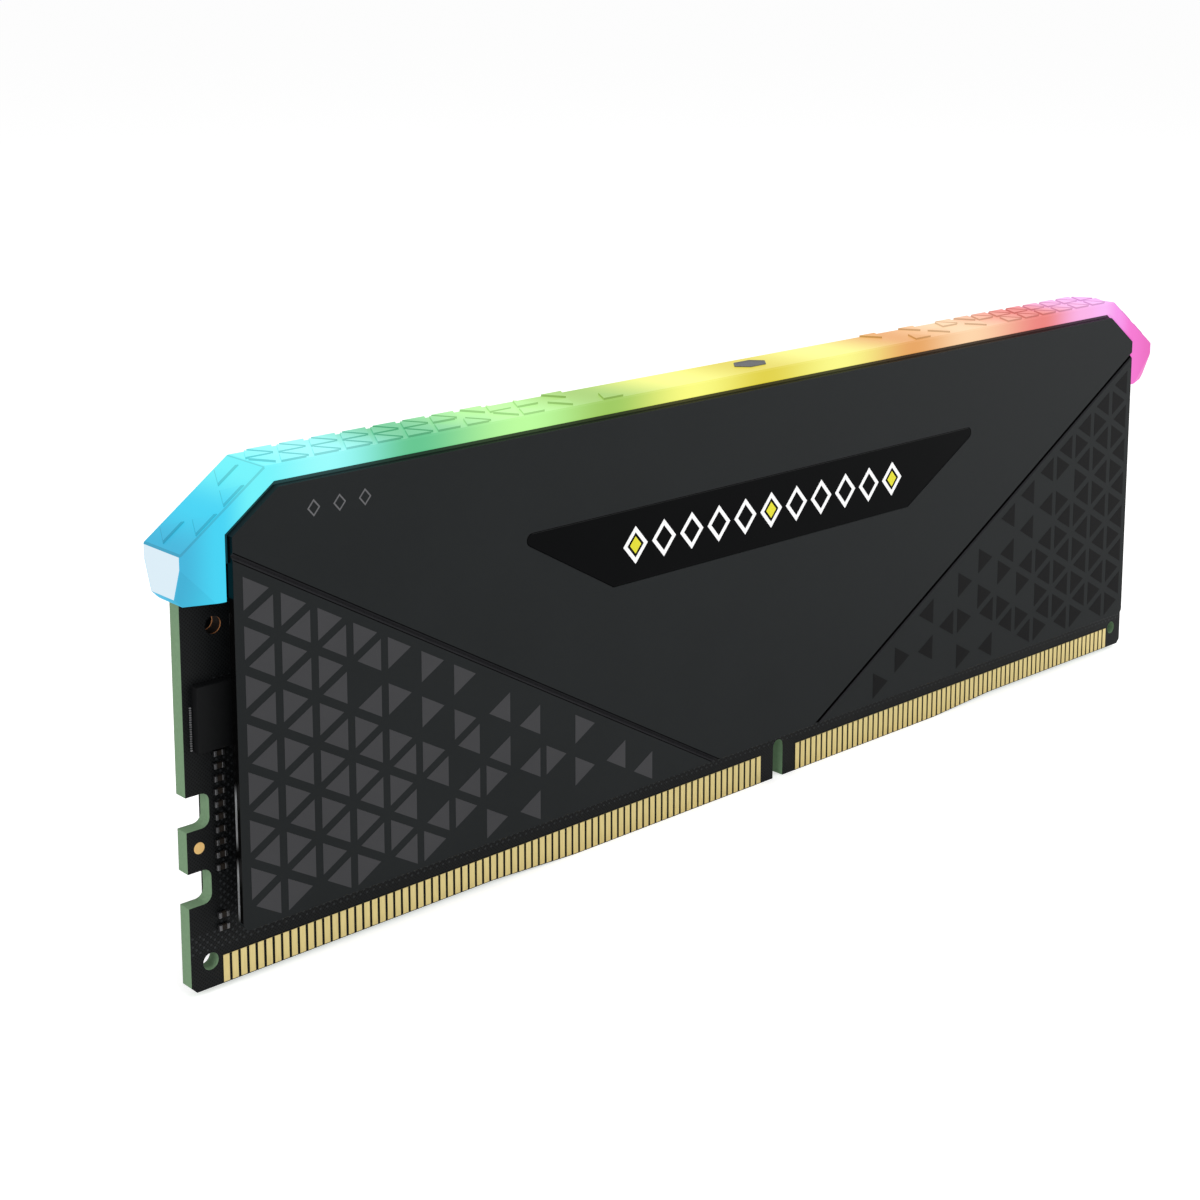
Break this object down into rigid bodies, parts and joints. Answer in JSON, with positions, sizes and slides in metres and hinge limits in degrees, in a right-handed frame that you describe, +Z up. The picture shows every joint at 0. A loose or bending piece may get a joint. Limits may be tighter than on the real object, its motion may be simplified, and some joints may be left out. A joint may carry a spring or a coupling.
{
  "type": "memory module",
  "caption": "Desktop DDR4 memory module with black heatspreader plates on both sides, an angular lit diffuser bar along its top and gold edge contacts on a keyed card edge.",
  "frame": {"origin": "centre of the lowest face of the card edge, at the board's mid thickness and mid length", "axes": "+X along the board from the first contact's end to the other, -Y out of the front face, +Z up from the card edge to the light bar"},
  "size_m": [0.1354, 0.0064, 0.0447],
  "materials": {
    "board": "near-black solder mask over green glass-fibre laminate, satin",
    "contact_gold": "gold-plated contact, satin",
    "chip_black": "moulded black epoxy, matt",
    "capacitor": "brown ceramic with tinned ends",
    "thermal_pad": "soft grey-blue silicone, matt",
    "plate_black": "fine matt charcoal coating on pressed aluminium, with polished cut edges",
    "nameplate_gloss": null,
    "label": null,
    "diffuser": "milky translucent diffuser, lit from inside from cyan through green, yellow and orange to pink",
    "light_package": "white moulded light package",
    "badge": "dark grey foil, satin"
  },
  "bodies": {
    "root": {"capacitor_01": "capacitor", "capacitor_02": "capacitor", "capacitor_03": "capacitor", "capacitor_04": "capacitor", "capacitor_05": "capacitor", "capacitor_06": "capacitor", "capacitor_07": "capacitor", "capacitor_08": "capacitor", "capacitor_09": "capacitor", "capacitor_10": "capacitor", "capacitor_11": "capacitor", "capacitor_12": "capacitor", "circuit_board": "board", "contacts_back_left": "contact_gold", "contacts_back_right": "contact_gold", "contacts_front_left": "contact_gold", "contacts_front_right": "contact_gold", "heatspreader_back": "plate_black", "heatspreader_front": "plate_black", "light_1": "light_package", "light_2": "light_package", "light_3": "light_package", "light_4": "light_package", "light_5": "light_package", "light_6": "light_package", "light_bar": "diffuser", "light_controller": "chip_black", "memory_chip_back_1": "chip_black", "memory_chip_back_2": "chip_black", "memory_chip_back_3": "chip_black", "memory_chip_back_4": "chip_black", "memory_chip_back_5": "chip_black", "memory_chip_back_6": "chip_black", "memory_chip_back_7": "chip_black", "memory_chip_back_8": "chip_black", "memory_chip_front_1": "chip_black", "memory_chip_front_2": "chip_black", "memory_chip_front_3": "chip_black", "memory_chip_front_4": "chip_black", "memory_chip_front_5": "chip_black", "memory_chip_front_6": "chip_black", "memory_chip_front_7": "chip_black", "memory_chip_front_8": "chip_black", "memory_settings_chip": "chip_black", "nameplate_back": "nameplate_gloss", "nameplate_front": "nameplate_gloss", "rear_label": "label", "thermal_pad_back": "thermal_pad", "thermal_pad_front": "thermal_pad", "top_badge": "badge"}
  },
  "joints": []
}
